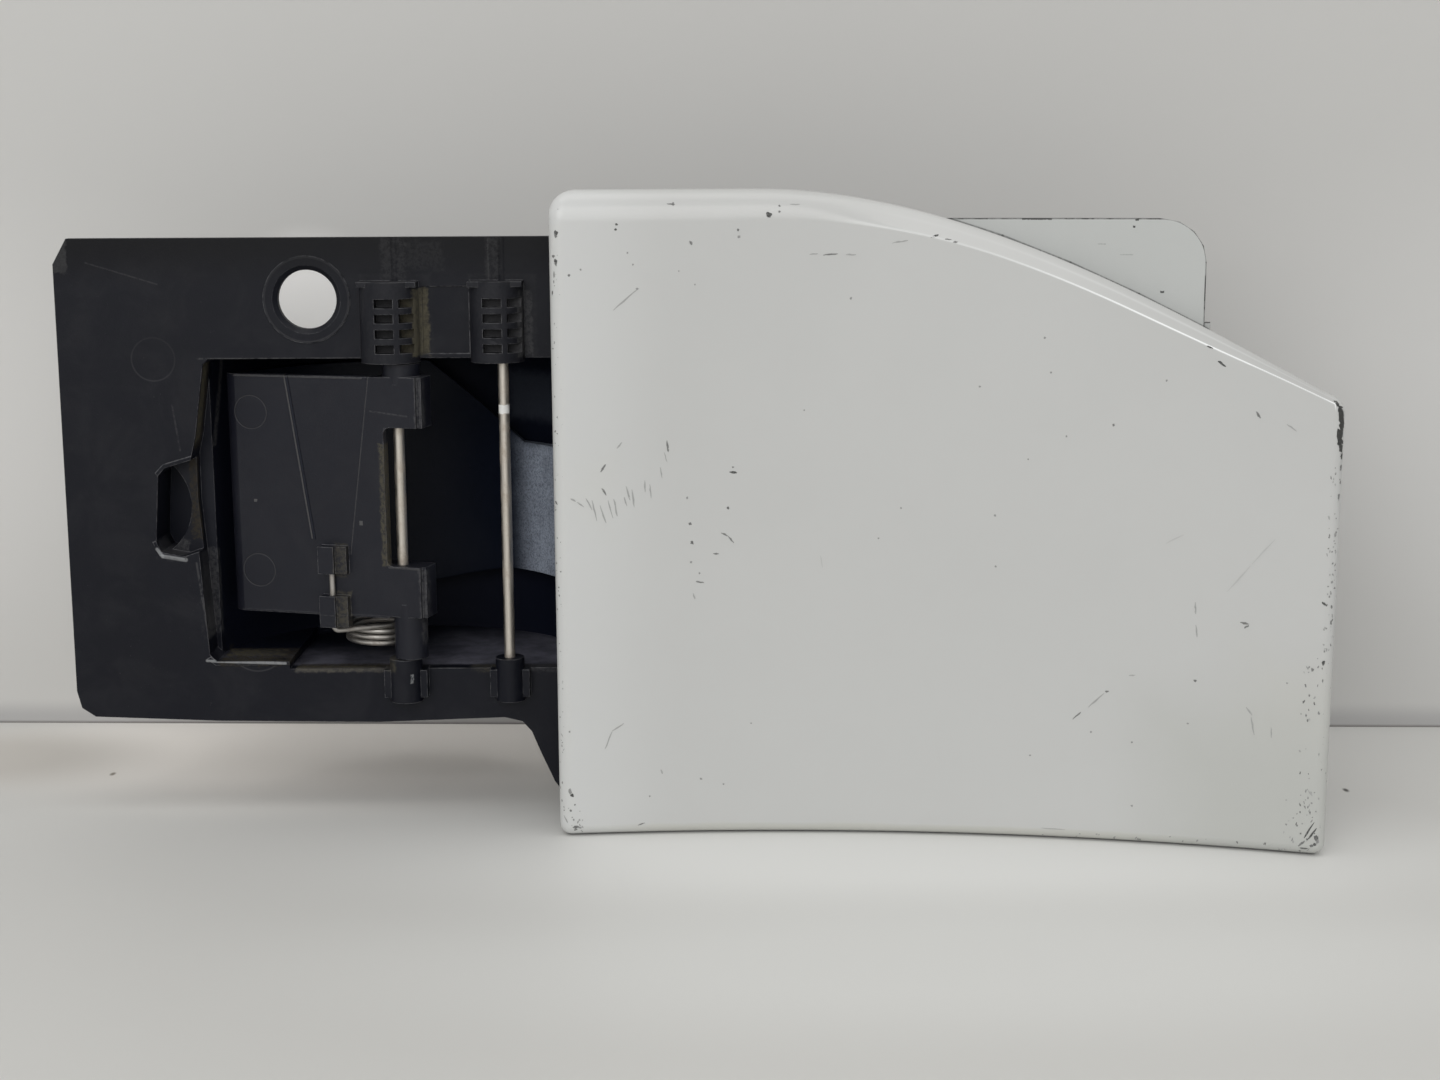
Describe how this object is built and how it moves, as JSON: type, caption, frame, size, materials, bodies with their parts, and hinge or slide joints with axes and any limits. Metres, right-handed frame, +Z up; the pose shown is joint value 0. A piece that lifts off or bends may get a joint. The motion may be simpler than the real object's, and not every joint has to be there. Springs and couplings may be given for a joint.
{
  "type": "car fuel door",
  "caption": "Fuel door with a painted, gently hollowed cover on a moulded gooseneck arm, hinged on a steel pin in a moulded pocket housing with an over-centre spring.",
  "frame": {"origin": "centre of the fixing hole, on the flange's back face", "axes": "+X towards the free end of the door, +Y into the body side, +Z up"},
  "size_m": [0.3455, 0.1031, 0.1767],
  "materials": {
    "housing_plastic": "moulded, slightly glossy, dusty",
    "pin_steel": "drawn bar, dull",
    "spring_steel": "drawn wire, dull",
    "arm_plastic": "moulded, with paint overspray at its front end",
    "carrier_plastic": "moulded, painted where it shows",
    "cover_paint": "off-white body paint, scratched"
  },
  "bodies": {
    "housing": {"housing": "housing_plastic", "hinge_pin": "pin_steel", "stop_pin": "pin_steel", "torsion_spring": "spring_steel"},
    "flap": {"swing_arm": "arm_plastic", "inner_carrier": "carrier_plastic", "outer_cover": "cover_paint"}
  },
  "joints": [
    {"name": "flap_hinge", "type": "hinge", "parent": "housing", "child": "flap", "pos_m": [0.0245, -0.0045, -0.0559], "axis": [0, 0, -1], "range_deg": [0, 110], "stiffness_Nm_per_rad": 0.03, "springref_deg": -17.19, "deforming": ["torsion_spring"]}
  ]
}
